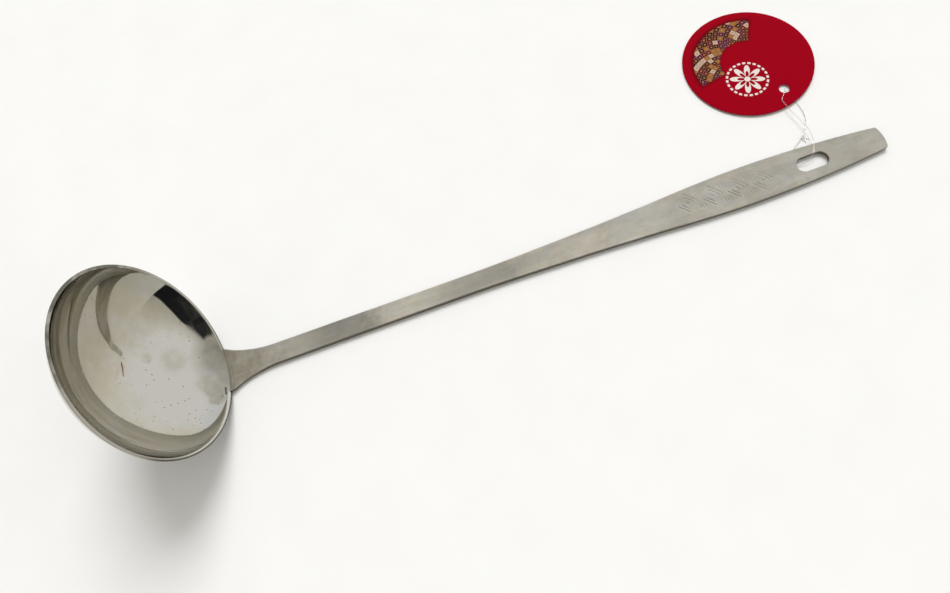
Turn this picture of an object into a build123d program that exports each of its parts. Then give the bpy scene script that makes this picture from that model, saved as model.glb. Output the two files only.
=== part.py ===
from build123d import *
import os
from math import asin, atan2, cos, degrees, hypot, pi, radians, sin, sqrt, tan

# Soup ladle lying on its handle, as it lies on a table: a shallow steel bowl turned up on its rim,
# a long flat handle welded to the rim's lowest point, and a round card tied to the hanging slot.
# Millimetres. +X runs along the handle to its tip, +Z is up, the table is at z = 0, and the
# origin is under the middle of the ladle's own box. Angles are in degrees.

# Bowl
bowl_diameter = 83.0  # outside, across the rim
bowl_depth = 24.0  # outside, from the rim plane to the bottom
bowl_sheet = 1.2
mouth_tilt = 70.5  # from the table to the rim plane, which is also from the handle to it

# Weld
weld_width = 1.2  # along the handle

# Handle
handle_length = 306.2  # from the weld to the tip
neck_width = 19.8  # at the weld
neck_flare_radius = 50.0
shank_width = 9.3
shank_waist_width = 9.1
shank_thickness = 2.4
shank_end = 110.0  # from the root to where the strip begins to widen and to thin
blade_width = 18.6  # the widest place
blade_start = 222.0  # from the root to where the strip is thinned fully
blade_thickness = 1.6
blade_peak = 243.0  # from the root to the widest place
tip_width = 11.0
tip_end_radius = 16.0  # the tip's end is slightly curved
tip_corner_radius = 1.6
handle_edge_radius = 0.45
slot_length = 14.5  # end to end
slot_width = 7.0
slot_from_tip = 33.3  # from the slot's middle to the tip

# Card
card_diameter = 60.0
card_thickness = 0.5
card_hole_diameter = 4.8
card_hole_inset = 8.1  # from the card's edge to the hole's middle
card_hole_along = 7.4  # from the slot's middle to the hole's middle, towards the tip
card_hole_across = 39.8  # from the handle's middle line to the hole's middle
card_turn = 112.1  # from +X to the way from the hole to the card's middle

# Thread
thread_diameter = 0.4
thread_gap = 0.3  # least air between the thread and what it passes under
knot_diameter = 1.5
knot_tail_length = 3.4
knot_tail_spread = 24.0  # between each cut end and the way square to the thread

overrun = 5.0  # how far a cutting solid runs past what it cuts

# Bowl geometry, in the bowl's own frame: the rim plane at z = 0, the mouth up
rim_radius = bowl_diameter / 2
sphere_radius = (rim_radius**2 + bowl_depth**2) / (2 * bowl_depth)
sphere_height = sphere_radius - bowl_depth
inner_sphere_radius = sphere_radius - bowl_sheet
rim_inner_radius = sqrt(inner_sphere_radius**2 - sphere_height**2)

# Places along X. The rim's lowest point touches the table.
tilt = radians(mouth_tilt)
ladle_back = sphere_radius - sphere_height * sin(tilt) + rim_radius * cos(tilt)
ladle_front = weld_width + handle_length
root_x = (ladle_back - ladle_front) / 2
neck_x = root_x + weld_width
tip_x = neck_x + handle_length
slot_x = tip_x - slot_from_tip
rim_centre = Vector(root_x - rim_radius * cos(tilt), 0, rim_radius * sin(tilt))
rim_plane = Plane(
    origin=rim_centre,
    x_dir=(cos(tilt), 0, -sin(tilt)),
    z_dir=(sin(tilt), 0, cos(tilt)),
)

# The shank lies flat on the table. The blade's underside is higher, and the thread passes below it
blade_lift = thread_diameter + thread_gap


def make_bowl():
    """A drawn cap of one sheet, cut off flat at the rim."""
    low = (0, -bowl_depth)
    half_turn = asin(rim_radius / sphere_radius) / 2
    middle = (
        sphere_radius * sin(half_turn),
        sphere_height - sphere_radius * cos(half_turn),
    )
    inner_half_turn = asin(rim_inner_radius / inner_sphere_radius) / 2
    inner_middle = (
        inner_sphere_radius * sin(inner_half_turn),
        sphere_height - inner_sphere_radius * cos(inner_half_turn),
    )
    inner_low = (0, bowl_sheet - bowl_depth)
    outer = ThreePointArc(low, middle, (rim_radius, 0))
    rim = Line((rim_radius, 0), (rim_inner_radius, 0))
    inner = ThreePointArc((rim_inner_radius, 0), inner_middle, inner_low)
    axis = Line(inner_low, low)
    section = make_face(Curve() + [outer, rim, inner, axis])
    return rim_plane * revolve(Plane.XZ * section, Axis.Z, 360)


def rim_sector():
    """The part of the rim's flat face that the neck is welded to."""
    outer_half = asin(neck_width / 2 / rim_radius)
    inner_half = asin(neck_width / 2 / rim_inner_radius)
    ends = []
    for radius, half in ((rim_radius, outer_half), (rim_inner_radius, inner_half)):
        ends.append((radius * cos(half), radius * sin(half)))
    (ox, oy), (ix, iy) = ends
    outer = ThreePointArc((ox, -oy), (rim_radius, 0), (ox, oy))
    inner = ThreePointArc((ix, iy), (rim_inner_radius, 0), (ix, -iy))
    sides = [Line((ox, oy), (ix, iy)), Line((ix, -iy), (ox, -oy))]
    return rim_plane * make_face(Curve() + [outer, sides[0], inner, sides[1]])


def make_weld():
    """The bead between rim and neck, ground flush with both."""
    return extrude(rim_sector(), amount=weld_width, dir=(1, 0, 0))


def smooth(share):
    return share * share * (3 - 2 * share)


# The strip's outline between waist and widest place: how far along, how much of the widening
widening_shares = [(0.38, 0.24), (0.647, 0.565), (0.842, 0.878)]
# Where the neck's sections lie between the weld and the shank
neck_section_shares = [0.2, 0.45, 0.7, 1.0]
# An edge rises by less than this share of its length where it runs along a face of the strip
level_share = 0.5

neck_half = neck_width / 2
shank_half = shank_width / 2
waist_half = shank_waist_width / 2
blade_half = blade_width / 2
neck_length = sqrt(neck_flare_radius**2 - (neck_flare_radius - neck_half + shank_half) ** 2)
neck_end_x = neck_x + neck_length
neck_dish = (rim_radius - sqrt(rim_radius**2 - neck_half**2)) * sin(tilt)
neck_root_thickness = (rim_radius - rim_inner_radius) * sin(tilt)


def neck_section(share):
    """A cross-section of the neck, dished to the rim's curve at the weld and flat at the shank."""
    x = neck_x + neck_length * share
    left = neck_length * (1 - share)
    half = shank_half + neck_flare_radius - sqrt(neck_flare_radius**2 - left**2)
    dish = neck_dish * (1 - share) ** 2
    grown = (shank_thickness - neck_root_thickness) * smooth(share)
    high = neck_root_thickness + grown
    corners = [(-half, dish), (half, dish), (half, high + dish), (-half, high + dish)]
    if dish > 0:
        bottom = ThreePointArc(corners[0], (0, 0), corners[1])
        top = ThreePointArc(corners[2], (0, high), corners[3])
    else:
        bottom = Line(corners[0], corners[1])
        top = Line(corners[2], corners[3])
    sides = [Line(corners[1], corners[2]), Line(corners[3], corners[0])]
    return Plane.YZ.offset(x) * make_face(Curve() + [bottom, sides[0], top, sides[1]])


def make_neck():
    """The flared root of the handle."""
    root = Pos(weld_width, 0, 0) * rim_sector()
    return loft([root] + [neck_section(share) for share in neck_section_shares])


def strip_outline():
    """The flat strip seen from above: a narrow shank, a long blade and a cut-off tip."""
    widening = blade_peak - shank_end
    points = [(root_x + shank_end, waist_half)]
    for along, grown in widening_shares:
        x = root_x + shank_end + widening * along
        points.append((x, waist_half + (blade_half - waist_half) * grown))
    points.append((root_x + blade_peak, blade_half))
    start = (neck_end_x, shank_half)
    tip_sag = tip_end_radius - sqrt(tip_end_radius**2 - tip_width**2 / 4)
    end = (tip_x - tip_sag, tip_width / 2)
    shank = Line(start, points[0])
    blade = Spline(points, tangents=[(1, 0), (1, 0)])
    nose = TangentArc(points[-1], end, tangent=(1, 0))
    side = [shank, blade, nose]
    other = [edge.mirror(Plane.XZ) for edge in side]
    ends = [
        Line(start, (start[0], -start[1])),
        ThreePointArc(end, (tip_x, 0), (end[0], -end[1])),
    ]
    face = make_face(Curve() + side + other + ends)
    corners = face.vertices().sort_by(Axis.X)[-2:]
    return fillet(corners, tip_corner_radius)


def strip_profile():
    """The strip seen from its side: thick at the shank, rolled thinner towards the blade."""
    ways = [neck_end_x, root_x + shank_end, root_x + blade_start, tip_x]
    blade_top = blade_lift + blade_thickness
    below = list(zip(ways, [0, 0, blade_lift, blade_lift]))
    above = list(zip(ways, [shank_thickness, shank_thickness, blade_top, blade_top]))
    lines = [Line(below[0], above[0]), Line(below[-1], above[-1])]
    for side in (below, above):
        lines.append(Line(side[0], side[1]))
        lines.append(Spline([side[1], side[2]], tangents=[(1, 0), (1, 0)]))
        lines.append(Line(side[2], side[3]))
    return Plane.XZ * make_face(Curve() + lines)


def make_handle():
    """Neck and strip are one piece of sheet, with the hanging slot punched through."""
    height = 2 * (shank_thickness + blade_lift)
    strip = extrude(strip_outline(), amount=height) & extrude(
        strip_profile(), amount=blade_half + overrun, both=True
    )
    slot = Pos(slot_x, 0, -overrun) * extrude(
        SlotOverall(slot_length, slot_width), amount=height + 2 * overrun
    )
    strip = strip - slot
    long_edges = strip.edges().filter_by(
        lambda e: abs(e.tangent_at(0.5).Z) < level_share
        and e.center().X > neck_end_x + handle_edge_radius
    )
    strip = fillet(long_edges, handle_edge_radius)
    return strip + make_neck()


# Card geometry. It lies tilted, its far edge on the table and the hole held up by the thread.
card_hole_height = thread_diameter + thread_gap
card_reach = card_diameter - card_hole_inset
card_tilt = asin(card_hole_height / card_reach)
turn = radians(card_turn)
card_plane = Plane(
    origin=(slot_x + card_hole_along, card_hole_across, card_hole_height),
    x_dir=(cos(turn) * cos(card_tilt), sin(turn) * cos(card_tilt), -sin(card_tilt)),
    z_dir=(cos(turn) * sin(card_tilt), sin(turn) * sin(card_tilt), cos(card_tilt)),
)


def make_card():
    """A round card with one punched hole. Its frame's origin is the hole's middle, below."""
    disc = Pos(card_diameter / 2 - card_hole_inset, 0) * Circle(card_diameter / 2)
    return card_plane * extrude(disc - Circle(card_hole_diameter / 2), amount=card_thickness)


# The thread's route: from the knot below the strip, up through the slot, over the strip's far
# side, over the card, down its hole and back below the card to the knot
knot_at = (142.9, 13.55, 0.78)
thread_route = [
    (142.75, 13.35, 0.75),
    (138.4, 10.8, 0.25),
    (133.8, 6.9, 0.22),
    (132.6, 2.7, 0.22),
    (134.2, 0.7, 0.4),
    (137.6, 1.0, 1.2),
    (141.0, 2.0, 2.6),
    (143.3, 4.9, 3.05),
    (145.3, 9.6, 2.95),
    (146.2, 15.4, 2.5),
    (145.3, 21.2, 2.2),
    (144.0, 26.2, 2.12),
    (143.3, 30.6, 2.12),
    (142.7, 34.2, 2.12),
    (145.5, 36.8, 2.1),
    (147.2, 39.3, 1.95),
    (147.6, 39.7, 0.28),
    (148.2, 36.6, 0.24),
    (149.3, 31.0, 0.22),
    (149.7, 24.6, 0.22),
    (147.4, 18.4, 0.25),
    (143.1, 13.8, 0.75),
]
bend_share = 0.45  # of the shorter run, which an arc takes up


def bend_radii(points):
    radii = []
    for before, here, after in zip(points, points[1:], points[2:]):
        first = Vector(*here) - Vector(*before)
        second = Vector(*after) - Vector(*here)
        half_turn = radians(first.get_angle(second)) / 2
        radii.append(bend_share * min(first.length, second.length) / tan(half_turn))
    return radii


def make_thread():
    """A clear thread, tied in a loop through the slot and the card's hole."""
    radii = bend_radii(thread_route)
    path = FilletPolyline(*thread_route, radius=radii)
    section = Plane(path @ 0, z_dir=path % 0) * Circle(thread_diameter / 2)
    tube = sweep(section, path=path)
    whole = pi * thread_diameter**2 / 4 * path.length
    print("thread radii", [round(r, 2) for r in radii], "length", round(path.length, 2))
    print("thread volume over section times length", round(tube.volume / whole, 4))
    return tube


def make_knot():
    """The knot that closes the loop, with its two cut ends."""
    middle = Vector(*knot_at)
    knot = Pos(middle) * Sphere(knot_diameter / 2)
    into = Vector(*thread_route[1]) - middle
    heading = degrees(atan2(into.Y, into.X))
    drop = middle.Z - thread_diameter / 2
    reach = hypot(knot_tail_length, drop)
    for side in (-1, 1):
        way = radians(heading + 90 + side * knot_tail_spread)
        end = middle + Vector(knot_tail_length * cos(way), knot_tail_length * sin(way), -drop)
        tail_plane = Plane(origin=middle, z_dir=end - middle)
        knot += tail_plane * extrude(Circle(thread_diameter / 2), amount=reach)
    return knot


PARTS = {
    "bowl": make_bowl,
    "neck_weld": make_weld,
    "handle": make_handle,
    "hang_tag": make_card,
    "tag_thread": make_thread,
    "thread_knot": make_knot,
}

os.makedirs("parts", exist_ok=True)
for name, make in PARTS.items():
    solid = make()
    export_step(solid, f"parts/{name}.step")
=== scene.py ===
import bpy
from math import acos, asin, atan2, cos, degrees, exp, hypot, pi, radians, sin, sqrt
from mathutils import Matrix, Vector, noise


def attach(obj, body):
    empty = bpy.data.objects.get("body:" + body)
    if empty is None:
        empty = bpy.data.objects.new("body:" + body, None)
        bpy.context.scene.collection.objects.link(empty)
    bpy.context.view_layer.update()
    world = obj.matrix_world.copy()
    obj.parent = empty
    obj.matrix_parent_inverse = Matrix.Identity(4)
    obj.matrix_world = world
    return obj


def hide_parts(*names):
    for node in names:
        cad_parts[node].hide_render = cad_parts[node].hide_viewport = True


# A soup ladle lying on its handle, with a round card tied to the hanging slot.
# The row's frame: +X along the handle to its tip, +Z up, the table at z = 0.
# Sizes below are millimetres, and MM turns them into Blender's metres.

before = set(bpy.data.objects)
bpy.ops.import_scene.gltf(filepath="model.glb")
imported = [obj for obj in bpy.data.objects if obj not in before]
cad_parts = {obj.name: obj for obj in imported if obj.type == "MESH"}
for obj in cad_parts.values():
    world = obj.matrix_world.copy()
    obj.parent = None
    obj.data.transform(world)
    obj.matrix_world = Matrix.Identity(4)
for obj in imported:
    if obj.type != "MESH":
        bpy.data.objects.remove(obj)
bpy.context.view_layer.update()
MM = 0.001

# Sizes that the CAD pieces have
bowl_radius = 41.5
bowl_depth = 24.0
bowl_sheet = 1.2
mouth_tilt = radians(70.5)
weld_width = 1.2
handle_length = 306.2
neck_half = 9.9
neck_flare_radius = 50.0
shank_half = 4.65
waist_half = 4.55
shank_thickness = 2.4
shank_end = 110.0
blade_half = 9.3
blade_start = 222.0
blade_thickness = 1.6
blade_lift = 0.7
blade_peak = 243.0
tip_half = 5.5
tip_end_radius = 16.0
tip_corner_radius = 1.6
edge_radius = 0.45
slot_length = 14.5
slot_width = 7.0
slot_from_tip = 33.3
card_radius = 30.0
card_thickness = 0.5
card_hole_radius = 2.4
card_hole_inset = 8.1
card_hole_along = 7.4
card_hole_across = 39.8
card_turn = radians(112.1)
thread_diameter = 0.4

# Places along X: the bowl's back and the handle's tip are equally far from the frame's middle
sphere_radius = (bowl_radius**2 + bowl_depth**2) / (2 * bowl_depth)
sphere_height = sphere_radius - bowl_depth
bowl_reach = sphere_radius - sphere_height * sin(mouth_tilt) + bowl_radius * cos(mouth_tilt)
tip_x = (bowl_reach + weld_width + handle_length) / 2
neck_x = tip_x - handle_length
root_x = neck_x - weld_width
slot_x = tip_x - slot_from_tip

# The bowl's own frame: the rim plane, its normal out of the mouth, and the way to the root
rim_normal = Vector((sin(mouth_tilt), 0, cos(mouth_tilt)))
rim_to_root = Vector((cos(mouth_tilt), 0, -sin(mouth_tilt)))
rim_centre = Vector((root_x, 0, 0)) - bowl_radius * rim_to_root
sphere_middle = rim_centre + sphere_height * rim_normal
inner_sphere_radius = sphere_radius - bowl_sheet
rim_inner_radius = sqrt(inner_sphere_radius**2 - sphere_height**2)


def smooth(share):
    share = min(1.0, max(0.0, share))
    return share * share * (3 - 2 * share)


sharp_angle = radians(38.0)


def new_object(name, data):
    thing = bpy.data.objects.new(name, data)
    bpy.context.scene.collection.objects.link(thing)
    return thing


def new_piece(name, data, body, node):
    """An object that moves with a body and stands for one CAD node."""
    piece = new_object(name, data)
    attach(piece, body)
    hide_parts(node)
    return piece


def mesh_piece(name, points, faces, materials, body, node, marks=None):
    """A smooth closed mesh from points in millimetres. Marks are the faces' material numbers."""
    mesh = bpy.data.meshes.new(name)
    mesh.from_pydata([tuple(p * MM for p in point) for point in points], [], faces)
    for material in materials:
        mesh.materials.append(material)
    if marks:
        mesh.polygons.foreach_set("material_index", marks)
    mesh.polygons.foreach_set("use_smooth", [True] * len(faces))
    mesh.update()
    mesh.set_sharp_from_angle(angle=sharp_angle)
    return new_piece(name, mesh, body, node)


# Camera: the photograph's own, found from the rim, the card and the handle
photo_width = 950.0
focal_pixels = 670.456
camera_place = Vector((-19.679, -113.493, 275.923))
camera_turns = (0.361, "Z"), (21.343, "X"), (-19.968, "Z")


def make_camera():
    data = bpy.data.cameras.new("camera")
    data.sensor_fit = "HORIZONTAL"
    data.sensor_width = 36.0
    data.lens = data.sensor_width * focal_pixels / photo_width
    data.clip_start = 0.01
    camera = new_object("camera", data)
    matrix = Matrix.Translation(camera_place * MM)
    for turn, axis in camera_turns:
        matrix = matrix @ Matrix.Rotation(radians(turn), 4, axis)
    camera.matrix_world = matrix
    bpy.context.scene.camera = camera


make_camera()


class Nodes:
    """Short names for the shader nodes that the materials use."""

    def __init__(self, tree):
        self.tree = tree

    def add(self, kind, **values):
        node = self.tree.nodes.new(kind)
        for key, value in values.items():
            setattr(node, key, value)
        return node

    def link(self, value, socket):
        if isinstance(value, bpy.types.NodeSocket):
            self.tree.links.new(value, socket)
        else:
            socket.default_value = value

    def maths(self, operation, *values, clamp=False):
        node = self.add("ShaderNodeMath", operation=operation, use_clamp=clamp)
        for value, socket in zip(values, node.inputs):
            self.link(value, socket)
        return node.outputs[0]

    def chain(self, operation, values):
        result = values[0]
        for value in values[1:]:
            result = self.maths(operation, result, value)
        return result

    def total(self, *values):
        return self.chain("ADD", values)

    def product(self, *values):
        return self.chain("MULTIPLY", values)

    def most(self, *values):
        return self.chain("MAXIMUM", values)

    def minus(self, first, second):
        return self.maths("SUBTRACT", first, second)

    def scaled(self, value, factor, offset):
        return self.maths("MULTIPLY_ADD", value, factor, offset)

    def radius(self, x, y):
        return self.maths("SQRT", self.total(self.product(x, x), self.product(y, y)))

    def vector(self, operation, *values):
        node = self.add("ShaderNodeVectorMath", operation=operation)
        for value, socket in zip(values, node.inputs):
            self.link(value, socket)
        return node.outputs["Value" if operation in ("LENGTH", "DISTANCE", "DOT_PRODUCT") else 0]

    def dot(self, vector, way):
        return self.vector("DOT_PRODUCT", vector, way)

    def split(self, vector):
        node = self.add("ShaderNodeSeparateXYZ")
        self.link(vector, node.inputs[0])
        return node.outputs

    def step(self, value, low, high):
        """0 below low and 1 above high, smooth between. High may be the lower one."""
        node = self.add("ShaderNodeMapRange", interpolation_type="SMOOTHSTEP")
        for key, given in (("Value", value), ("From Min", low), ("From Max", high)):
            self.link(given, node.inputs[key])
        return node.outputs[0]

    def noise(self, vector, scale, detail=3.0, roughness=0.55):
        """Scale is one number, or one for each axis."""
        if isinstance(scale, tuple):
            vector, scale = self.vector("MULTIPLY", vector, scale), 1.0
        node = self.add("ShaderNodeTexNoise")
        self.link(vector, node.inputs["Vector"])
        for key, value in (("Scale", scale), ("Detail", detail), ("Roughness", roughness)):
            node.inputs[key].default_value = value
        return node.outputs["Fac"]

    def cells(self, vector, scale):
        node = self.add("ShaderNodeTexVoronoi")
        self.link(vector, node.inputs["Vector"])
        node.inputs["Scale"].default_value = scale
        return node

    def ramp(self, value, stops, interpolation="LINEAR"):
        """Colours or grey levels by value. Stops are (position, colour or level)."""
        node = self.add("ShaderNodeValToRGB")
        node.color_ramp.interpolation = interpolation
        elements = node.color_ramp.elements
        while len(elements) < len(stops):
            elements.new(1.0)
        for element, (position, colour) in zip(elements, stops):
            element.position = position
            level = colour if isinstance(colour, tuple) else (colour,) * 3
            element.color = (*level, 1.0)
        self.link(value, node.inputs[0])
        return node.outputs[0]

    def mix(self, share, first, second, blend="MIX"):
        node = self.add("ShaderNodeMix", data_type="RGBA", blend_type=blend)
        self.link(share, node.inputs[0])
        for value, socket in ((first, node.inputs[6]), (second, node.inputs[7])):
            self.link((*value, 1.0) if isinstance(value, tuple) else value, socket)
        return node.outputs[2]

    def tinted(self, colour, tint):
        return self.mix(1.0, colour, tint, "MULTIPLY")

    def surface(self, colour, rough, relief=None, **others):
        """Sets the main shader's inputs. Relief is height, strength and distance."""
        shader = self.tree.nodes["Principled BSDF"]
        values = {"Base Color": colour, "Roughness": rough, **others}
        if relief:
            bump = self.add("ShaderNodeBump")
            for key, value in zip(("Height", "Strength", "Distance"), relief):
                self.link(value, bump.inputs[key])
            values["Normal"] = bump.outputs[0]
        for key, value in values.items():
            self.link(value, shader.inputs[key.replace("_", " ")])
        return self.material


def new_material(name):
    """A material's node helper, and the place in millimetres."""
    material = bpy.data.materials.new(name)
    material.use_nodes = True
    nodes = Nodes(material.node_tree)
    nodes.material = material
    place = nodes.add("ShaderNodeTexCoord").outputs["Object"]
    return nodes, nodes.vector("MULTIPLY", place, (1 / MM,) * 3)


def spot(nodes, place, centre, radius, edge, wander, ragged):
    """1 within radius of a point, falling to 0 over the edge's width, with a ragged outline."""
    reach = nodes.scaled(wander, ragged, nodes.vector("DISTANCE", place, centre))
    return nodes.step(reach, radius + edge, radius - edge)


# Dull places in the bowl, left by grinding and by fingers: where, radius, soft edge, how dull
ground_marks = [
    ((-139.3, 7.9, 3.2), 3.6, 1.6, 0.95),
    ((-137.4, 9.6, 3.0), 3.4, 1.5, 0.9),
    ((-136.0, 4.0, 1.8), 5.0, 1.8, 0.9),
    ((-135.0, -3.0, 1.6), 5.0, 1.8, 0.9),
    ((-141.6, -6.0, 3.9), 4.4, 1.8, 0.95),
    ((-140.6, -10.4, 4.2), 3.9, 1.3, 0.95),
    ((-144.6, -2.6, 4.8), 3.6, 1.9, 0.7),
    ((-138.2, -7.0, 2.8), 4.0, 1.5, 0.9),
    ((-153.4, 9.5, 11.0), 5.0, 2.4, 0.62),
    ((-160.6, 11.4, 18.5), 2.4, 0.5, 0.6),
    ((-157.4, 25.4, 24.2), 5.8, 3.0, 0.6),
    ((-171.6, 3.9, 41.4), 3.0, 0.9, 0.3),
    ((-164.1, -8.6, 22.4), 3.4, 2.0, 0.3),
]
mark_raggedness = 4.0
# The cleanest part of the polish, left without tarnish or painted shade: its middle, radius and
# soft edge, and how ragged it is
clean_unshaded_centre, clean_unshaded_radius, clean_unshaded_edge, clean_unshaded_raggedness = (-153.5, -1.5, 11.5), 21.5, 7.0, 16.0
# The weld's open end, a short dark line: both its ends and half its width
weld_gap = ((-136.6, -7.6, 2.5), (-136.7, -10.6, 3.1), 0.44)

polished_colour = (0.545, 0.53, 0.495)
# Tarnish darkened as painted shade, and the tint of the painted shade away from the handle
tarnish_and_shade_colour = (0.50, 0.468, 0.385)
far_shade_tint = (0.72, 0.70, 0.655)
lip_tint = (0.91, 0.945, 0.99)
dull_colours = (0.42, 0.395, 0.33), (0.50, 0.47, 0.40)
# The rim's colour, and its painted shade away from the handle
rim_colour_and_shade = (0.41, 0.39, 0.34), (0.15, 0.142, 0.12)
ground_rim_colour = (0.62, 0.60, 0.55)
# Painted shade for the outside's edge
outside_shade_colour = (0.10, 0.092, 0.075)
pit_colour = (0.07, 0.06, 0.045)
satin_colour = (0.65, 0.63, 0.575)
# Painted shade for the upright cut edges
edge_shade_colour = (0.16, 0.145, 0.115)
steel_metallic = 0.97
# The rim's band starts this far below the rim, and further where it was ground
rim_band = 0.4
ground_rim_more = 0.65
# Across the bowl's mouth: away from the handle and towards the card's side
towards_far = (Vector((0, 0.55, 0)) - 0.84 * rim_to_root).normalized()


def segment_distance(nodes, place, start, end):
    """How far a place is from the straight line between two points."""
    start, end = Vector(start), Vector(end)
    way = (end - start).normalized()
    reach = (end - start).length / 2
    offset = nodes.vector("SUBTRACT", place, (start + end) / 2)
    along = nodes.most(nodes.maths("MINIMUM", nodes.dot(offset, way), reach), -reach)
    foot = nodes.add("ShaderNodeVectorMath", operation="SCALE")
    foot.inputs[0].default_value = way
    nodes.link(along, foot.inputs["Scale"])
    return nodes.vector("DISTANCE", offset, foot.outputs[0])


def make_bowl_steel():
    """Mirror polish with a faint yellow tarnish, dull ground marks, pits, a worn rim and painted
    shade.
    """
    nodes, place = new_material("bowl_steel")
    x, y, _ = nodes.split(place)
    from_centre = nodes.vector("SUBTRACT", place, rim_centre)
    from_rim = nodes.dot(from_centre, rim_normal)
    side = nodes.dot(from_centre, towards_far)
    wander = nodes.minus(nodes.noise(place, 0.28), 0.5)
    cloud = nodes.noise(place, 0.075, 4.0, 0.6)
    worn = nodes.noise(place, 0.16, 4.0, 0.6)
    fine = nodes.noise(place, 1.1, 2.0)
    # Yellow tarnish, darkened as painted shade where the bowl reflects the darker floor, and
    # painted shade that grows away from the handle
    clean_unshaded = spot(nodes, place, clean_unshaded_centre, clean_unshaded_radius, clean_unshaded_edge, wander, clean_unshaded_raggedness)
    tarnish_and_shade = nodes.product(nodes.minus(1.0, clean_unshaded), nodes.step(cloud, 0.2, 0.6))
    colour = nodes.mix(tarnish_and_shade, polished_colour, tarnish_and_shade_colour)
    far_shade = nodes.step(nodes.scaled(wander, 9.0, side), -8.0, 20.0)
    colour = nodes.mix(far_shade, colour, nodes.tinted(colour, far_shade_tint))
    # Dull ground marks
    dull = 0.0
    for centre, radius, edge, amount in ground_marks:
        mark = spot(nodes, place, centre, radius, edge, wander, mark_raggedness)
        dull = nodes.most(dull, nodes.product(mark, amount))
    blotch = nodes.step(nodes.noise(place, 0.2), 0.35, 0.65)
    colour = nodes.mix(dull, colour, nodes.mix(blotch, *dull_colours))
    near_lip = nodes.step(from_rim, -10.0, -5.0)
    colour = nodes.mix(near_lip, colour, nodes.tinted(colour, lip_tint))
    # The rim's cut edge is duller, painted darkest away from the handle as painted shade, and
    # ground bright beside the neck
    at_neck = nodes.product(
        nodes.step(nodes.maths("ABSOLUTE", y), neck_half + 0.7, neck_half - 0.5),
        nodes.step(x, root_x - 5.0, root_x - 3.0),
    )
    ground_rim = nodes.step(side, -24.0, -35.0)
    start = nodes.scaled(ground_rim, -ground_rim_more, -rim_band)
    rim = nodes.step(nodes.minus(from_rim, start), -0.12, 0.12)
    rim = nodes.product(rim, nodes.minus(1.0, at_neck))
    rim_far_shade = nodes.product(nodes.step(side, 12.0, 30.0), nodes.step(worn, 0.7, 0.42))
    rim_colour = nodes.mix(ground_rim, nodes.mix(rim_far_shade, *rim_colour_and_shade), ground_rim_colour)
    colour = nodes.mix(rim, colour, rim_colour)
    # Painted shade: the outside's edge is painted dark beside the ground rim, as the reflection of
    # the floor's shadow there
    reach = nodes.vector("DISTANCE", place, sphere_middle)
    outside_shade = nodes.step(reach, sphere_radius - 0.5, sphere_radius - 0.15)
    across = nodes.vector("CROSS_PRODUCT", from_centre, rim_normal)
    reach = nodes.vector("LENGTH", across)
    outside_shade = nodes.most(outside_shade, nodes.step(reach, bowl_radius - 0.9, bowl_radius - 0.65))
    where = nodes.product(nodes.step(from_rim, -3.6, -1.4), nodes.step(side, -8.0, -22.0))
    outside_shade = nodes.product(outside_shade, where)
    colour = nodes.mix(outside_shade, colour, outside_shade_colour)
    # Pits: a few small dark cells, most of them in the clean part
    pits = nodes.cells(place, 0.5)
    pit = nodes.product(
        nodes.step(nodes.split(pits.outputs["Color"])[0], 0.58, 0.59),
        nodes.scaled(clean_unshaded, 0.7, 0.3),
        nodes.step(pits.outputs["Distance"], 0.2, 0.1),
    )
    gap_start, gap_end, half = weld_gap
    gap = nodes.step(segment_distance(nodes, place, gap_start, gap_end), half + 0.1, half - 0.1)
    dark = nodes.most(nodes.product(pit, 0.62), nodes.product(gap, 0.8))
    colour = nodes.mix(dark, colour, pit_colour)
    rough = nodes.scaled(rim, 0.22, nodes.scaled(dull, 0.36, nodes.scaled(fine, 0.02, 0.03)))
    height = nodes.total(nodes.product(dark, -1.0), nodes.product(worn, rim))
    return nodes.surface(colour, rough, (height, 0.4, 0.0001), Metallic=steel_metallic)


def edge_darkness(nodes):
    """1 on upright faces: the strip's cut edges, which are rough, and painted dark as painted shade
    for the floor's shadow they reflect.
    """
    normal = nodes.add("ShaderNodeNewGeometry").outputs["True Normal"]
    level = nodes.maths("ABSOLUTE", nodes.split(normal)[2])
    return nodes.step(level, 0.75, 0.3)


# Painted reflections, the handle's light and shade along its length: share of the length, how light
handle_painted_reflections = [
    (0.0, 0.99), (0.06, 0.90), (0.106, 0.87), (0.135, 0.70), (0.16, 0.60), (0.205, 0.58),
    (0.24, 0.98), (0.30, 0.98), (0.35, 0.81), (0.39, 0.77), (0.43, 0.71), (0.48, 0.89),
    (0.62, 0.90), (0.70, 0.80), (0.75, 0.85), (0.80, 0.73), (0.86, 0.78), (1.0, 0.69),
]


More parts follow.
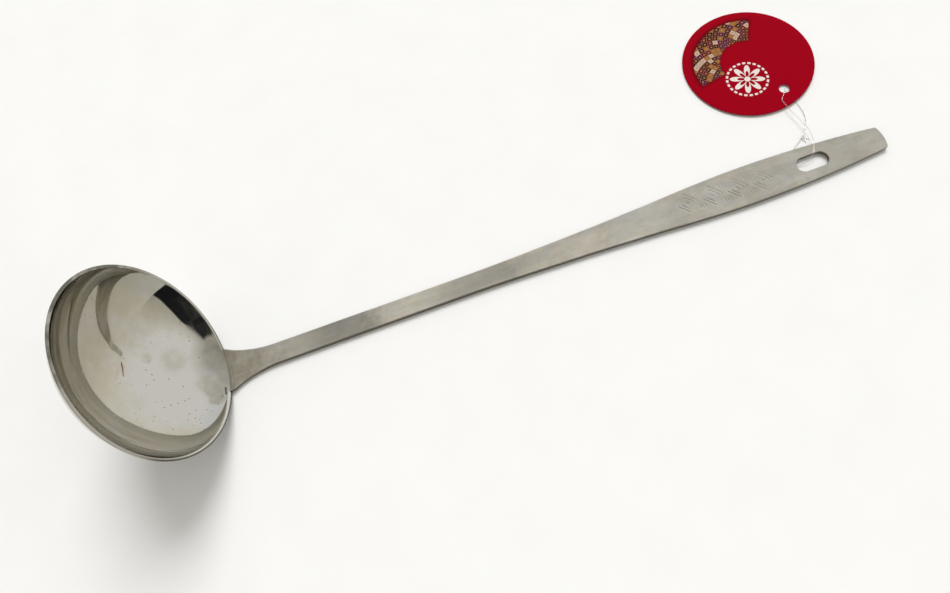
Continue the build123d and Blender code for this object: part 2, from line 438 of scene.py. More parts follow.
def make_handle_steel():
    """Satin steel: lengthwise streaks, cloudy stains, duller at the neck, painted reflections along
    it and painted shade on its cut edges.
    """
    nodes, place = new_material("handle_steel")
    along = nodes.split(place)[0]
    neck = nodes.step(along, root_x + 36.0, root_x + 14.0)
    streak = nodes.noise(place, (0.03, 2.2, 2.2), 5.0, 0.65)
    hair = nodes.noise(place, (0.12, 8.0, 8.0), 2.0)
    cloud = nodes.noise(place, (0.05, 0.14, 0.14), 4.0, 0.6)
    blotch = nodes.noise(place, 0.24, 5.0, 0.62)
    warm = nodes.noise(place, (0.08, 0.256, 0.256), 3.0, 0.6)
    share = nodes.maths("DIVIDE", nodes.minus(along, root_x), handle_length)
    share = nodes.scaled(nodes.minus(blotch, 0.5), 0.05, share)
    colour = satin_colour
    # The first ramp is painted reflection along the handle; the others are the steel's own tone
    for value, stops in (
        (share, handle_painted_reflections),
        (cloud, [(0.3, 0.84), (0.68, 1.1)]),
        (streak, [(0.3, 0.93), (0.7, 1.06)]),
        (warm, [(0.36, (0.965, 0.985, 1.02)), (0.6, (1.02, 0.99, 0.945))]),
    ):
        colour = nodes.tinted(colour, nodes.ramp(value, stops))
    stain = nodes.ramp(blotch, [(0.38, (0.80, 0.78, 0.74)), (0.56, (1.08, 1.075, 1.05))])
    colour = nodes.mix(nodes.scaled(neck, 0.5, 0.3), colour, nodes.tinted(colour, stain))
    edge = edge_darkness(nodes)
    # Painted shade on the cut edges
    colour = nodes.mix(edge, colour, edge_shade_colour)
    rough = nodes.total(
        nodes.product(streak, 0.14),
        nodes.product(blotch, 0.08),
        nodes.scaled(nodes.most(neck, edge), 0.12, 0.19),
    )
    height = nodes.total(
        nodes.product(hair, nodes.scaled(neck, -0.7, 1.0)),
        nodes.product(streak, 0.6),
        nodes.product(neck, 1.6, blotch),
    )
    return nodes.surface(colour, rough, (height, 0.35, 0.00006), Metallic=steel_metallic)


def make_weld_steel():
    """Ground weld: matte, with small pits, and painted shade on its upright faces."""
    nodes, place = new_material("weld_steel")
    blotch = nodes.noise(place, 0.32, 5.0, 0.62)
    fine = nodes.noise(place, 2.4)
    colour = nodes.ramp(blotch, [(0.36, (0.40, 0.38, 0.325)), (0.6, (0.49, 0.47, 0.41))])
    # Painted shade on the weld's upright faces
    colour = nodes.mix(edge_darkness(nodes), colour, edge_shade_colour)
    return nodes.surface(colour, nodes.scaled(fine, 0.1, 0.33), (fine, 0.4, 0.00008), Metallic=1.0)


def make_nylon():
    """Clear soft thread, slightly milky."""
    nodes, place = new_material("clear_nylon")
    milky = nodes.noise(place, 1.2, 2.0)
    colour = nodes.ramp(milky, [(0.3, (0.86, 0.83, 0.82)), (0.7, (0.93, 0.91, 0.90))])
    return nodes.surface(colour, nodes.scaled(milky, 0.1, 0.08), IOR=1.5, Transmission_Weight=0.85)


def skin(loops, closed=True, around=False):
    """Points, the rows of their numbers, and the faces between rows of equally many points.

    Closed joins each row's end to its start, and around joins the last row to the first.
    """
    count = len(loops[0])
    points = [point for loop in loops for point in loop]
    rows = [range(start, start + count) for start in range(0, len(points), count)]
    rows += rows[:1] if around else []
    faces = []
    for here, there in zip(rows, rows[1:]):
        for i in range(count if closed else count - 1):
            j = (i + 1) % count
            faces.append((here[i], here[j], there[j], there[i]))
    return points, rows, faces


def rim_place(radius, height, angle):
    """A point in the bowl's own frame. The angle is from the root, positive to +Y."""
    across = Vector((0, radius * sin(angle), 0))
    return rim_centre + radius * cos(angle) * rim_to_root + across + height * rim_normal


def corner(before, middle, after, count):
    """Points of a rounded corner, from before to after, ends left out."""
    points = []
    for i in range(1, count):
        t = i / count
        points.append(tuple(
            (1 - t) ** 2 * a + 2 * t * (1 - t) * b + t * t * c
            for a, b, c in zip(before, middle, after)
        ))
    return points


def sphere_point(radius, reach):
    """On a circle about the sphere's middle, at this angle from the bowl's bottom."""
    return radius * sin(reach), sphere_height - radius * cos(reach)


bowl_turns = 320
outer_rings = 48
inner_rings = 110
ring_crowding = 1.4
pressing_fade_rings = 14.0
neck_sector = asin(neck_half / bowl_radius)
# The rim's corners: at the weld, outside, inside, and how much more inside where it was ground
weld_corner, outer_corner, inner_corner, ground_corner = 0.02, 0.4, 0.24, 0.75
ground_sector = radians(22.0)


def lip_rounding(angle):
    """How much the rim's corners are rounded: not at the weld, and most just beside it."""
    beyond = abs(angle) - neck_sector
    share = smooth(beyond / radians(2.0))
    ground = exp(-((max(0.0, beyond) / ground_sector) ** 2))
    outer = weld_corner + share * outer_corner
    return outer, weld_corner + share * (inner_corner + ground_corner * ground)


def pressing(point):
    """The bowl's slight unevenness from pressing and polishing, as a height in millimetres."""
    broad = noise.noise(point / 26.0)
    narrow = noise.noise(point / 11.0 + Vector((7.0, 3.0, 5.0)))
    return 0.10 * broad + 0.02 * narrow


# The angle from the bowl's bottom, and how much steeper than a sphere's the inner wall is there
lip_slopes = [
    (0.0, 0.0), (47.0, 0.0), (50.0, 0.8), (52.0, 1.8), (54.0, 3.3),
    (56.0, 5.2), (57.0, 6.4), (58.2, 7.9), (60.0, 8.6),
]
rise_steps = 400
bottom_drop = 0.4


def lip_share(angle):
    """How steep the lip is in this direction: not at the neck, and one stretch was pressed less."""
    around = degrees(angle)
    less = 0.65 * smooth((around - 40.0) / 18.0) * smooth((94.0 - around) / 14.0)
    return (1 - less) * smooth((abs(around) - 11.0) / 9.0)


def wall_rises(last):
    """The wall's height over the sphere at even angles from 0 to the last one, for a full lip."""
    rises, rise = [0.0], 0.0
    for i in range(rise_steps):
        angle = last * (i + 0.5) / rise_steps
        for (before, low), (after, high) in zip(lip_slopes, lip_slopes[1:]):
            if before <= angle <= after:
                slope = low + (high - low) * (angle - before) / (after - before)
        rise += inner_sphere_radius * radians(last / rise_steps) * radians(slope)
        rises.append(rise)
    return rises


def make_bowl(steel):
    outer_end = asin(bowl_radius / sphere_radius)
    inner_end = asin(rim_inner_radius / inner_sphere_radius)
    lip_rises = wall_rises(degrees(inner_end))
    squares = [(i / rise_steps) ** 2 for i in range(rise_steps + 1)]
    loops = []
    for turn in range(bowl_turns):
        angle = 2 * pi * turn / bowl_turns
        angle = angle if angle <= pi else angle - 2 * pi
        outer_round, inner_round = lip_rounding(angle)
        lip = lip_share(angle)
        rises = [
            lip * (rise - lip_rises[-1] * square) - bottom_drop * (1 - square)
            for rise, square in zip(lip_rises, squares)
        ]
        outer_stop = outer_end - outer_round / sphere_radius
        inner_stop = inner_end - inner_round / inner_sphere_radius
        reaches = [outer_stop * (i + 1) / outer_rings for i in range(outer_rings)]
        profile = [sphere_point(sphere_radius, reach) for reach in reaches]
        flat_start = (bowl_radius - outer_round, 0.0)
        flat_end = (rim_inner_radius + inner_round * 0.8, 0.0)
        profile += corner(profile[-1], (bowl_radius, 0.0), flat_start, 5)
        profile += [flat_start, flat_end]
        inner = []
        for i in range(inner_rings, 0, -1):
            reach = inner_stop * (1 - (1 - i / inner_rings) ** ring_crowding)
            at = rise_steps * reach / inner_end
            low = min(rise_steps - 1, int(at))
            rise = rises[low] + (rises[low + 1] - rises[low]) * (at - low)
            inner.append(sphere_point(inner_sphere_radius - rise, reach))
        profile += corner(flat_end, (rim_inner_radius, 0.0), inner[0], 6)
        first_inner = len(profile)
        profile += inner
        loop = [rim_place(radius, height, angle) for radius, height in profile]
        for index in range(first_inner, len(loop)):
            place = loop[index]
            fade = smooth((index - first_inner) / pressing_fade_rings)
            loop[index] = place + (sphere_middle - place).normalized() * pressing(place) * fade
        loops.append(loop)
    points, rows, faces = skin(loops, closed=False, around=True)
    inside = rim_place(0, bowl_sheet - bowl_depth - bottom_drop, 0)
    low, top = len(points), len(points) + 1
    points += [rim_place(0, -bowl_depth, 0), inside + rim_normal * pressing(inside)]
    for here, there in zip(rows, rows[1:]):
        faces.append((low, here[0], there[0]))
        faces.append((top, there[-1], here[-1]))
    return mesh_piece("ladle_bowl", points, faces, [steel], "ladle", "bowl")


def rim_offset(radius, y):
    """Where a circle of the rim lies at y: how far before the root along X, and how high."""
    depth = bowl_radius - sqrt(radius**2 - y**2)
    return -depth * cos(mouth_tilt), depth * sin(mouth_tilt)


# The strip's widening: share of the way from the waist to the widest place, share of the widening
widening = [(0.0, 0.0), (0.38, 0.24), (0.647, 0.565), (0.842, 0.878), (1.0, 1.0)]
neck_length = sqrt(neck_flare_radius**2 - (neck_flare_radius - neck_half + shank_half) ** 2)
neck_end_x = neck_x + neck_length
neck_dish = (bowl_radius - sqrt(bowl_radius**2 - neck_half**2)) * sin(mouth_tilt)
neck_root_thickness = (bowl_radius - rim_inner_radius) * sin(mouth_tilt)
tip_sag = tip_end_radius - sqrt(tip_end_radius**2 - tip_half**2)
nose_length = handle_length + weld_width - blade_peak - tip_sag
nose_drop = blade_half - tip_half
nose_radius = (nose_length**2 + nose_drop**2) / (2 * nose_drop)

# Each tip corner is an arc that touches the nose's side and the curved end
end_arc_x = tip_x - tip_end_radius
nose_arc = Vector((root_x + blade_peak, blade_half - nose_radius))
to_nose_arc = nose_arc - Vector((end_arc_x, 0))
arc_distance = to_nose_arc.length
arc_way = to_nose_arc / arc_distance
end_inset = tip_end_radius - tip_corner_radius
nose_inset = nose_radius - tip_corner_radius
along_way = (end_inset**2 - nose_inset**2 + arc_distance**2) / (2 * arc_distance)
off_way = sqrt(end_inset**2 - along_way**2)
corner_x = end_arc_x + arc_way.x * along_way - arc_way.y * off_way
corner_y = arc_way.y * along_way + arc_way.x * off_way
corner_start = corner_x + (corner_x - nose_arc.x) * tip_corner_radius / nose_inset
corner_end = corner_x + (corner_x - end_arc_x) * tip_corner_radius / end_inset


def widened(share):
    """The share of the widening, on a smooth curve through the chosen places."""
    slopes = [0.0]
    for before, after in zip(widening, widening[2:]):
        slopes.append((after[1] - before[1]) / (after[0] - before[0]))
    slopes.append(0.0)
    for i, (start, end) in enumerate(zip(widening, widening[1:])):
        if share <= end[0] or i == len(widening) - 2:
            run = end[0] - start[0]
            t = (share - start[0]) / run
            return (
                (1 + 2 * t) * (1 - t) ** 2 * start[1] + t * (1 - t) ** 2 * run * slopes[i]
                + t * t * (3 - 2 * t) * end[1] + t * t * (t - 1) * run * slopes[i + 1]
            )


def half_width(x):
    from_root = x - root_x
    if x < neck_end_x:
        left = neck_end_x - x
        return shank_half + neck_flare_radius - sqrt(neck_flare_radius**2 - left**2)
    if from_root < shank_end:
        share = (x - neck_end_x) / (root_x + shank_end - neck_end_x)
        return shank_half + (waist_half - shank_half) * share
    if from_root < blade_peak:
        share = (from_root - shank_end) / (blade_peak - shank_end)
        return waist_half + (blade_half - waist_half) * widened(share)
    if x < corner_start:
        return blade_half - nose_radius + sqrt(nose_radius**2 - (from_root - blade_peak) ** 2)
    if x < corner_end:
        return corner_y + sqrt(tip_corner_radius**2 - (x - corner_x) ** 2)
    return sqrt(max(0.0, tip_end_radius**2 - (x - end_arc_x) ** 2))


def underside(x):
    return blade_lift * smooth((x - root_x - shank_end) / (blade_start - shank_end))


def thickness(x):
    if x < neck_end_x:
        grown = smooth((x - neck_x) / neck_length)
        return neck_root_thickness + (shank_thickness - neck_root_thickness) * grown
    thinned = smooth((x - root_x - shank_end) / (blade_start - shank_end))
    return shank_thickness + (blade_thickness - shank_thickness) * thinned


slot_end_radius = slot_width / 2
slot_straight = slot_length / 2 - slot_end_radius


def slot_half(x):
    """Half the slot's width at x."""
    past = max(0.0, abs(x - slot_x) - slot_straight)
    return sqrt(max(0.0, slot_end_radius**2 - past**2))


def slot_distance(x, y):
    """From a point to the slot's edge, negative inside it."""
    return hypot(max(0.0, abs(x - slot_x) - slot_straight), y) - slot_end_radius


def rounded(distance, radius):
    """How far an edge's rounding lowers the face at this distance from the edge."""
    inside = radius - min(radius, max(0.0, distance))
    return radius - sqrt(max(0.0, radius**2 - inside**2))


# The stamped ornament: a row of nested lozenges with three upright bars between them, in two halves
stamp_start = 216.0
stamp_pitch = 11.4
stamp_count = 4
stamp_depth = 0.15
stamp_skew = 0.045
lozenge_half = 4.6
lozenge_flatness = 0.92
inner_lozenge_share = 0.62
bar_gap = 1.15
bar_width = 0.26
bar_start = 1.9
bar_end = 4.9
bar_fade = 0.5


def groove(distance, width=0.34):
    """A soft-edged groove's depth, as a share, at this distance from its middle line."""
    return exp(-((distance / width) ** 2))


def stamped(x, y):
    """Depth of the ornament, which is shallower where the stamp bit less."""
    along = x - root_x - stamp_start
    reach = stamp_pitch * stamp_count
    if not -lozenge_half - 1 < along < reach - stamp_pitch + lozenge_half + 1:
        return 0.0
    turned = abs(y + stamp_skew * (along - reach / 2))
    index = min(stamp_count - 1, max(0, round(along / stamp_pitch)))
    offset = along - index * stamp_pitch
    diamond = abs(offset) + turned * lozenge_flatness
    outline = groove(diamond - lozenge_half)
    depth = max(outline, groove(diamond - lozenge_half * inner_lozenge_share), groove(diamond, 0.8))
    gap = index + (0.5 if offset > 0 else -0.5)
    if 0 < gap < stamp_count - 1 and turned > bar_start:
        between = along - gap * stamp_pitch
        bar = min(abs(between), abs(between - bar_gap), abs(between + bar_gap))
        end = smooth((bar_end - turned) / bar_fade) * smooth((turned - bar_start) / bar_fade)
        depth = max(depth, groove(bar, bar_width) * end)
    bite = 0.45 + 0.55 * smooth(0.5 + 1.4 * noise.noise(Vector((x / 9.0, y / 5.0, 2.0))))
    return stamp_depth * depth * bite


def handle_rows():
    """Places along the handle for its cross-sections, closer where there is more to show."""
    rows = []

    def run(start, end, step):
        count = max(1, round((end - start) / step))
        rows.extend(start + (end - start) * i / count for i in range(count))

    relief_start = root_x + stamp_start - lozenge_half - 1.5
    relief_end = root_x + stamp_start + stamp_pitch * (stamp_count - 1) + lozenge_half + 1.5
    slot_low = slot_x - slot_length / 2
    slot_high = slot_x + slot_length / 2
    run(neck_x, neck_end_x, 0.8)
    run(neck_end_x, relief_start, 1.6)
    run(relief_start, relief_end, 0.2)
    run(relief_end, slot_low - 0.8, 0.8)
    turns = [slot_end_radius * (1 - cos(pi / 2 * i / 14)) for i in range(15)]
    lead = [0.8, 0.5, 0.3, 0.18, 0.08]
    rows.extend(slot_low - gap for gap in lead)
    rows.extend(slot_low + turn for turn in turns)
    run(slot_low + slot_end_radius + 0.8, slot_high - slot_end_radius - 0.4, 0.8)
    rows.extend(slot_high - turn for turn in reversed(turns))
    rows.extend(slot_high + gap for gap in reversed(lead))
    run(slot_high + 1.6, corner_start, 0.8)
    first = acos((corner_start - corner_x) / tip_corner_radius)
    last = acos((corner_end - corner_x) / tip_corner_radius)
    angles = [first + (last - first) * i / 14 for i in range(14)]
    rows.extend(corner_x + tip_corner_radius * cos(angle) for angle in angles)
    first = acos((corner_end - end_arc_x) / tip_end_radius)
    rows.extend(end_arc_x + tip_end_radius * cos(first * (1 - i / 24)) for i in range(24))
    rows.append(tip_x - 0.0005)
    return rows


# Places across a half section: close together by both edges, and even between them
inner_steps = [0.0, 0.03, 0.08, 0.16, 0.28]
outer_steps = [*inner_steps, 0.45]
even_steps = 24
least_full_width = 1.2
slot_edge_radius = 0.25
# The top face is slightly wavy and lowered, and the neck's edges are sharp near the weld
face_wave = 0.05
face_drop = 0.03
neck_sharp_share = 0.25


def half_section(x):
    """Distances from the middle line for one half: from the slot's edge, or 0, outwards."""
    low, high = slot_half(x), half_width(x)
    scale = min(1.0, (high - low) / least_full_width)
    near = [low + step * scale for step in inner_steps]
    far = [high - step * scale for step in reversed(outer_steps)]
    start, end = near[-1], far[0]
    middle = [start + (end - start) * i / even_steps for i in range(1, even_steps)]
    return near + middle + far


def handle_point(x, y, top):
    """A point of the strip's top or underside. Near the root it follows the rim."""
    left = max(0.0, 1 - (x - neck_x) / neck_length)
    blend = left**2
    half = half_width(x)
    edge = half - abs(y)
    if x > corner_start - 2.0:
        edge = min(edge, tip_end_radius - hypot(x - end_arc_x, y))
    drop = rounded(edge, edge_radius)
    if abs(x - slot_x) < slot_length:
        drop = max(drop, rounded(slot_distance(x, y), slot_edge_radius))
    drop *= smooth((1 - left) / neck_sharp_share)
    shift, lift = rim_offset(rim_inner_radius if top else bowl_radius, min(neck_half, abs(y)))
    lift -= neck_root_thickness if top else 0.0
    z = underside(x) + neck_dish * blend * (y / half) ** 2 * (1 - blend) + lift * blend
    if top:
        wave = face_wave * noise.noise(Vector((x / 34.0, y / 14.0, 0.0))) * (1 - blend)
        z += thickness(x) - drop - stamped(x, y) + (wave - face_drop) * smooth(edge / 1.5)
    else:
        z += drop
    return x + shift * blend, y, z


def make_handle(steel):
    points, faces, sections = [], [], []
    stations = handle_rows()
    number = {}

    def vertex(row, side, top, index, x, y):
        """One point, shared by both halves where the middle is not cut away."""
        shared = index == 0 and slot_half(x) == 0.0
        key = (row, 0 if shared else side, top, index)
        if key not in number:
            number[key] = len(points)
            points.append(handle_point(x, y, top))
        return number[key]

    for row, x in enumerate(stations):
        section = {}
        for side in (-1, 1):
            upper, lower = (
                [vertex(row, side, top, i, x, side * y) for i, y in enumerate(half_section(x))]
                for top in (True, False)
            )
            section[side] = upper + lower[::-1]
        sections.append(section)
    for here, there, x, x_next in zip(sections, sections[1:], stations, stations[1:]):
        for side in (-1, 1):
            chain, following = here[side], there[side]
            count = len(chain)
            last = count if slot_half(x) > 0 or slot_half(x_next) > 0 else count - 1
            for i in range(last):
                j = (i + 1) % count
                face = tuple(dict.fromkeys((chain[i], chain[j], following[j], following[i])))
                faces.append(face if side < 0 else face[::-1])
    for section, facing in ((sections[0], 1), (sections[-1], -1)):
        for side in (-1, 1):
            chain = section[side]
            count = len(chain)
            for i in range(count // 2 - 1):
                face = (chain[i], chain[count - 1 - i], chain[count - 2 - i], chain[i + 1])
                faces.append(face if side * facing < 0 else face[::-1])
    return mesh_piece("ladle_handle", points, faces, [steel], "ladle", "handle")


# The weld: how far it runs onto the neck, its height there, and how far it lies in and aside
weld_onto_neck = 2.6
weld_fill = 0.04
weld_sunk = 0.05
weld_aside = 0.03
weld_steps = 26
across_steps = 40


def make_weld(steel):
    """The bead between rim and neck, ground out thin over the neck."""
    loops = []
    length = weld_width + weld_onto_neck
    for way in sorted([length * i / weld_steps for i in range(weld_steps + 1)] + [weld_width]):
        low, top = [], []
        past = max(0.0, way - weld_width)
        bulge = sin(pi * min(1.0, way / weld_width * 0.5)) * (1 - past / weld_onto_neck)
        for share in (2 * i / across_steps - 1 for i in range(across_steps + 1)):
            y = share * (half_width(neck_x + past) - weld_aside)
            if past:
                face = Vector(handle_point(neck_x + past, y, True))
                low.append(face - Vector((0, 0, weld_sunk)))
            else:
                onto = Vector((way, 0, 0))
                face = rim_place(rim_inner_radius, 0.0, asin(y / rim_inner_radius)) + onto
                low.append(rim_place(bowl_radius, 0.0, asin(y / bowl_radius)) + onto)
            aside = smooth((1 - abs(share)) / 0.25)
            grain = 0.6 + 0.8 * noise.noise(Vector((face.x * 0.3, y * 0.3, 4.0)))
            top.append(face + Vector((0, 0, weld_fill * bulge * aside * grain)))
        loops.append(top + low[::-1])
    points, rows, faces = skin(loops)
    for row, flip in ((rows[0], False), (rows[-1], True)):
        for i in range(across_steps):
            face = (row[-1 - i], row[-2 - i], row[i + 1], row[i])
            faces.append(face[::-1] if flip else face)
    return mesh_piece("weld_bead", points, faces, [steel], "ladle", "neck_weld")


# Card. Its own frame: the hole's middle below, U towards the card's middle, V across, W up
card_hole_height = blade_lift
card_reach = 2 * card_radius - card_hole_inset
card_tilt = asin(card_hole_height / card_reach)
card_origin = Vector((slot_x + card_hole_along, card_hole_across, card_hole_height))
card_u = Vector((cos(card_turn) * cos(card_tilt), sin(card_turn) * cos(card_tilt), -sin(card_tilt)))
card_w = Vector((cos(card_turn) * sin(card_tilt), sin(card_turn) * sin(card_tilt), cos(card_tilt)))
card_v = card_w.cross(card_u)
card_centre = card_origin + card_u * (card_radius - card_hole_inset)

card_turns = 224
card_rings = 30
card_curl = 0.09
card_rounding = 0.12
hole_dip = 0.05


def make_card(materials):
    """A round card with a punched hole and a slight curl."""
    loops = []
    for turn in range(card_turns):
        angle = 2 * pi * turn / card_turns
        way = Vector((cos(angle), sin(angle)))
        inner = way * card_hole_radius
        outer = Vector((card_radius - card_hole_inset, 0)) + way * (card_radius - 0.02)
        loop = []
        for top in (False, True):
            shares = [i / card_rings for i in range(card_rings + 1)]
            for share in reversed(shares) if top else shares:
                flat = inner.lerp(outer, share)
                curl = card_curl * smooth(share) * sin(angle * 2 + 0.6)
                dip = hole_dip * (1 - smooth(share / 0.1)) if top else 0.0
                edge = card_rounding if share in (0.0, 1.0) else 0.0
                height = (card_thickness - edge - dip if top else edge) + max(0.0, curl)
                loop.append(card_origin + card_u * flat.x + card_v * flat.y + card_w * height)
        loops.append(loop)
    points, _, faces = skin(loops, around=True)
    marks = ([1] * (card_rings + 1) + [0] * card_rings + [1]) * card_turns
    return mesh_piece("round_card", points, faces, materials, "tag", "hang_tag", marks)


# The print: its colours, the crescent's middle radius and lozenges, and the rosette's middle
card_red = (0.302, 0.0003, 0.0082)
print_cream = (0.76, 0.70, 0.66)
lozenge_colours = [
    (0.0, (0.010, 0.008, 0.009)), (0.26, (0.045, 0.006, 0.05)), (0.42, (0.28, 0.13, 0.035)),
    (0.58, (0.03, 0.012, 0.012)), (0.74, (0.50, 0.40, 0.30)), (0.86, (0.09, 0.01, 0.018)),
]
crescent_radius = 18.5
crescent_turn = 0.25
lozenge_size = 3.4
rosette_u, rosette_v = -6.6, 7.4


def make_card_print():
    """Red card printed with a crescent of small lozenges and a white rosette."""
    nodes, place = new_material("card_print")
    offset = nodes.vector("SUBTRACT", place, card_centre)
    u, v = nodes.dot(offset, card_u), nodes.dot(offset, card_v)
    grain = nodes.noise(place, 2.2)
    colour = nodes.ramp(grain, [(0.3, card_red), (0.7, (0.322, 0.0006, 0.0098))])
    # The crescent of lozenges, along the far edge, with a dark shadow around it
    radius = nodes.radius(u, v)
    angle = nodes.maths("ARCTAN2", v, u)
    across = nodes.maths("DIVIDE", nodes.minus(radius, crescent_radius), lozenge_size)
    along = nodes.product(angle, crescent_radius / lozenge_size)
    ways = nodes.total(along, across), nodes.minus(along, across)
    tile = nodes.add("ShaderNodeCombineXYZ")
    for way, socket in zip(ways, tile.inputs):
        nodes.link(nodes.maths("FLOOR", way), socket)
    chance = nodes.add("ShaderNodeTexWhiteNoise", noise_dimensions="2D")
    nodes.link(tile.outputs[0], chance.inputs["Vector"])
    tiles = nodes.ramp(chance.outputs["Value"], lozenge_colours, "CONSTANT")
    nearest = []
    for way in ways:
        share = nodes.maths("FRACT", way)
        nearest.append(nodes.maths("MINIMUM", share, nodes.minus(1.0, share)))
    seam = nodes.maths("MINIMUM", *nearest)
    middle = nodes.product(nodes.step(seam, 0.30, 0.34), 0.8)
    tiles = nodes.mix(middle, tiles, (0.42, 0.20, 0.06))
    tiles = nodes.mix(nodes.step(seam, 0.07, 0.04), tiles, (0.30, 0.10, 0.07))
    turned = nodes.maths("ABSOLUTE", nodes.minus(angle, crescent_turn))
    shadow, crescent = (
        nodes.product(nodes.step(radius, *near), nodes.step(radius, *far), nodes.step(turned, *end))
        for near, far, end in (
            ((11.2, 13.4), (27.4, 24.6), (1.22, 1.06)),
            ((12.4, 12.6), (24.9, 24.7), (1.12, 1.10)),
        )
    )
    colour = nodes.mix(nodes.product(shadow, 0.75), colour, (0.06, 0.002, 0.004))
    colour = nodes.mix(crescent, colour, tiles)
    # The white rosette, between the middle and the hole: petals, an eye and a dashed ring
    u, v = nodes.minus(u, rosette_u), nodes.minus(v, rosette_v)
    reach = nodes.radius(u, v)
    turn = nodes.maths("ARCTAN2", v, u)
    petal = nodes.maths("ABSOLUTE", nodes.maths("COSINE", nodes.product(turn, 4.0)))
    white = nodes.product(
        nodes.step(nodes.minus(nodes.scaled(petal, 5.6, 2.3), reach), -0.12, 0.12),
        nodes.step(nodes.minus(reach, nodes.scaled(petal, 3.6, 1.0)), -0.12, 0.12),
    )
    white = nodes.most(white, nodes.step(reach, 1.5, 1.3))
    ring_turn = nodes.minus(nodes.maths("FRACT", nodes.product(turn, 24 / (2 * pi))), 0.5)
    dash = nodes.step(nodes.maths("ABSOLUTE", ring_turn), 0.32, 0.28)
    ring = nodes.step(nodes.maths("ABSOLUTE", nodes.minus(reach, 9.2)), 0.62, 0.42)
    white = nodes.most(white, nodes.product(ring, dash))
    colour = nodes.mix(white, colour, print_cream)
    rough = nodes.scaled(grain, 0.15, 0.38)
    return nodes.surface(colour, rough, (grain, 0.12, 0.00005), Specular_IOR_Level=0.02)


def make_card_plain():
    """The card's edge and back."""
    nodes, place = new_material("card_back")
    grain = nodes.noise(place, 2.2)
    colour = nodes.ramp(grain, [(0.3, (0.30, 0.003, 0.010)), (0.7, (0.35, 0.006, 0.016))])
    rough = nodes.scaled(grain, 0.15, 0.5)
    return nodes.surface(colour, rough, (grain, 0.15, 0.00005), Specular_IOR_Level=0.05)


# The thread's route, as the CAD's: from the knot below the strip, up through the slot, over the
# strip and the card, down the card's hole and back below the card to the knot
thread_route = [
    (142.75, 13.35, 0.75), (138.4, 10.8, 0.25), (133.8, 6.9, 0.22), (132.6, 2.7, 0.22),
    (134.2, 0.7, 0.4), (137.6, 1.0, 1.2), (141.0, 2.0, 2.6), (143.3, 4.9, 3.05),
    (145.3, 9.6, 2.95), (146.2, 15.4, 2.5), (145.3, 21.2, 2.2), (144.0, 26.2, 2.12),
    (143.3, 30.6, 2.12), (142.7, 34.2, 2.12), (145.5, 36.8, 2.1), (147.2, 39.3, 1.95),
    (147.6, 39.7, 0.28), (148.2, 36.6, 0.24), (149.3, 31.0, 0.22), (149.7, 24.6, 0.22),
    (147.4, 18.4, 0.25), (143.1, 13.8, 0.75),
]
knot_at = Vector((142.9, 13.55, 0.78))


def make_thread(nylon):
    curve = bpy.data.curves.new("tie_thread", "CURVE")
    curve.dimensions = "3D"
    spline = curve.splines.new("NURBS")
    spline.points.add(len(thread_route) - 1)
    for point, place in zip(spline.points, thread_route):
        point.co = (*(value * MM for value in place), 1.0)
    spline.order_u = 3
    spline.use_endpoint_u = True
    spline.resolution_u = 12
    curve.bevel_depth = thread_diameter / 2 * MM
    curve.bevel_resolution = 4
    curve.use_fill_caps = True
    curve.materials.append(nylon)
    return new_piece("tie_thread", curve, "ladle", "tag_thread")


knot_loop = 0.42
knot_tail = 3.0
knot_tail_spread = 24.0
knot_steps = 72
tail_steps = 10
tube_sides = 12


def knot_line():
    """The tied strand: a cut end, an overhand knot, and the other cut end."""
    into = Vector(thread_route[1]) - knot_at
    heading = degrees(atan2(into.y, into.x))
    line = []
    for i in range(knot_steps + 1):
        t = 2 * pi * (0.04 + 0.92 * i / knot_steps)
        x = sin(t) + 2 * sin(2 * t)
        y = cos(t) - 2 * cos(2 * t)
        height = -0.2 * sin(3 * t) - 0.02
        line.append(knot_at + Vector((x * knot_loop / 2.4, y * knot_loop / 2.4, height)))
    ends = []
    fall = thread_diameter / 2 + 0.02 - knot_at.z
    for side in (1, -1):
        way = radians(heading + 90 + side * knot_tail_spread)
        ends.append(knot_at + Vector((knot_tail * cos(way), knot_tail * sin(way), fall)))
    lead = [ends[0].lerp(line[0], i / tail_steps) for i in range(tail_steps)]
    tail = [line[-1].lerp(ends[1], (i + 1) / tail_steps) for i in range(tail_steps)]
    return lead + line + tail


def make_knot(nylon):
    """A tube along the tied strand, closed at its cut ends."""
    line = knot_line()
    turns = [2 * pi * i / tube_sides for i in range(tube_sides)]
    loops = []
    up = Vector((0, 0, 1))
    for i, here in enumerate(line):
        way = (line[min(i + 1, len(line) - 1)] - line[max(i - 1, 0)]).normalized()
        side = way.cross(up).normalized()
        up = side.cross(way).normalized()
        loops.append([here + (side * cos(t) + up * sin(t)) * thread_diameter / 2 for t in turns])
    points, rows, faces = skin(loops)
    faces += [tuple(rows[0]), tuple(reversed(rows[-1]))]
    return mesh_piece("tie_knot", points, faces, [nylon], "ladle", "thread_knot")


floor_reach = 6.0


def make_floor():
    nodes, place = new_material("table")
    grain = nodes.noise(place, 0.04)
    colour = nodes.ramp(grain, [(0.3, (0.88, 0.88, 0.875)), (0.7, (0.90, 0.90, 0.895))])
    material = nodes.surface(colour, 0.8, Specular_IOR_Level=0.1)
    mesh = bpy.data.meshes.new("table")
    signs = ((-1, -1), (1, -1), (1, 1), (-1, 1))
    mesh.from_pydata([(x * floor_reach, y * floor_reach, 0) for x, y in signs], [], [(0, 1, 2, 3)])
    mesh.materials.append(material)
    new_object("table", mesh)


# The room's light by share of the way from the horizon to straight above
room_levels = [
    (0.0, (0.955, 0.955, 0.945)), (0.62, (0.95, 0.95, 0.93)), (0.72, (0.76, 0.74, 0.69)),
    (0.82, (0.53, 0.51, 0.46)), (1.0, (0.48, 0.46, 0.41)),
]


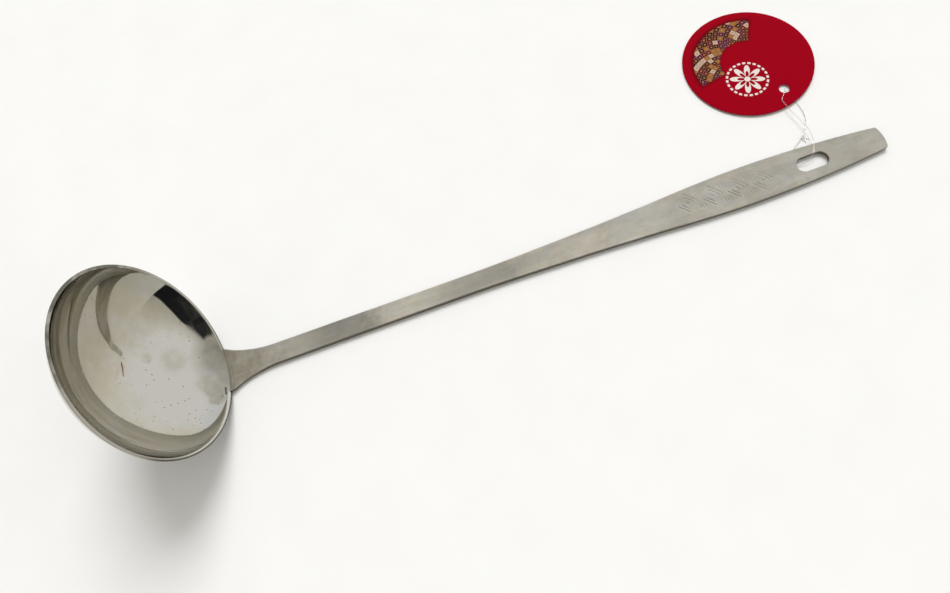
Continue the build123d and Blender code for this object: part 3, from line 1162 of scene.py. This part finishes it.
def make_world():
    """A soft room: bright low down, dimmer overhead, with a dark panel to one side."""
    world = bpy.data.worlds.new("studio")
    bpy.context.scene.world = world
    world.use_nodes = True
    nodes = Nodes(world.node_tree)
    way = nodes.add("ShaderNodeTexCoord").outputs["Generated"]
    x, y, z = nodes.split(way)
    # In degrees: above the horizon, and around from +X
    height = nodes.maths("DEGREES", nodes.maths("ARCSINE", z))
    turn = nodes.maths("DEGREES", nodes.maths("ARCTAN2", y, x))
    level = nodes.ramp(nodes.maths("DIVIDE", height, 90.0, clamp=True), room_levels)
    # The room is dim on the side away from the light
    dim = nodes.most(nodes.step(turn, -84.0, -96.0), nodes.step(turn, 98.0, 128.0))
    dim = nodes.product(dim, nodes.step(height, 70.0, 40.0), 0.8)
    level = nodes.mix(dim, level, (0.20, 0.195, 0.18))
    # It is brownish around the dark panel
    beside = nodes.product(nodes.step(turn, -30.0, -56.0), nodes.step(height, 78.0, 60.0), 0.55)
    level = nodes.mix(beside, level, (0.52, 0.49, 0.41))
    # The panel's edge is sharp low down and soft above
    edge = nodes.scaled(nodes.step(height, 6.0, 46.0), 7.0, -60.0)
    soft = nodes.scaled(nodes.step(height, 42.0, 50.0), 7.0, 0.8)
    panel = nodes.product(
        nodes.step(turn, nodes.total(edge, soft), nodes.minus(edge, soft)),
        nodes.step(turn, -112.0, -104.0),
        nodes.step(height, 72.0, 66.0),
    )
    # On it: grey cloth, black places, and a band with a few red flecks
    cloth = nodes.noise(way, (7.0, 7.0, 5.0), 4.0, 0.6)
    grey = nodes.ramp(cloth, [(0.4, (0.012, 0.015, 0.018)), (0.66, (0.052, 0.052, 0.047))])
    band = nodes.product(nodes.step(height, 45.5, 47.5), nodes.step(height, 55.0, 52.0))
    black = nodes.most(
        nodes.step(height, 22.0, 16.0),
        nodes.product(nodes.step(turn, -74.0, -69.0), nodes.step(height, 48.0, 42.0)),
        nodes.product(nodes.step(turn, -62.0, -68.0), band),
    )
    dark = nodes.mix(black, grey, (0.003, 0.005, 0.010))
    fleck = nodes.step(nodes.cells(way, 22.0).outputs["Distance"], 0.3, 0.2)
    dark = nodes.mix(nodes.product(fleck, band, 0.7), dark, (0.10, 0.012, 0.012))
    level = nodes.mix(panel, level, dark)
    # Below the horizon it is bright
    level = nodes.mix(nodes.step(height, 0.6, -0.6), level, (0.95, 0.95, 0.94))
    nodes.link(level, world.node_tree.nodes["Background"].inputs["Color"])


def make_sun(way, power, softness):
    """Even light from one side, too soft to show in the polish."""
    data = bpy.data.lights.new("key", "SUN")
    data.energy = power
    data.angle = softness
    sun = new_object("key", data)
    sun.rotation_euler = (-Vector(way)).to_track_quat("-Z", "Y").to_euler()
    sun.visible_glossy = False


make_bowl(make_bowl_steel())
make_weld(make_weld_steel())
make_handle(make_handle_steel())
card = make_card([make_card_print(), make_card_plain()])
nylon = make_nylon()
thread = make_thread(nylon)
knot = make_knot(nylon)
make_floor()
make_world()
make_sun((0.5, 1.1, 1.5), 1.95, radians(32.0))
bpy.context.scene.view_settings.view_transform = "Standard"
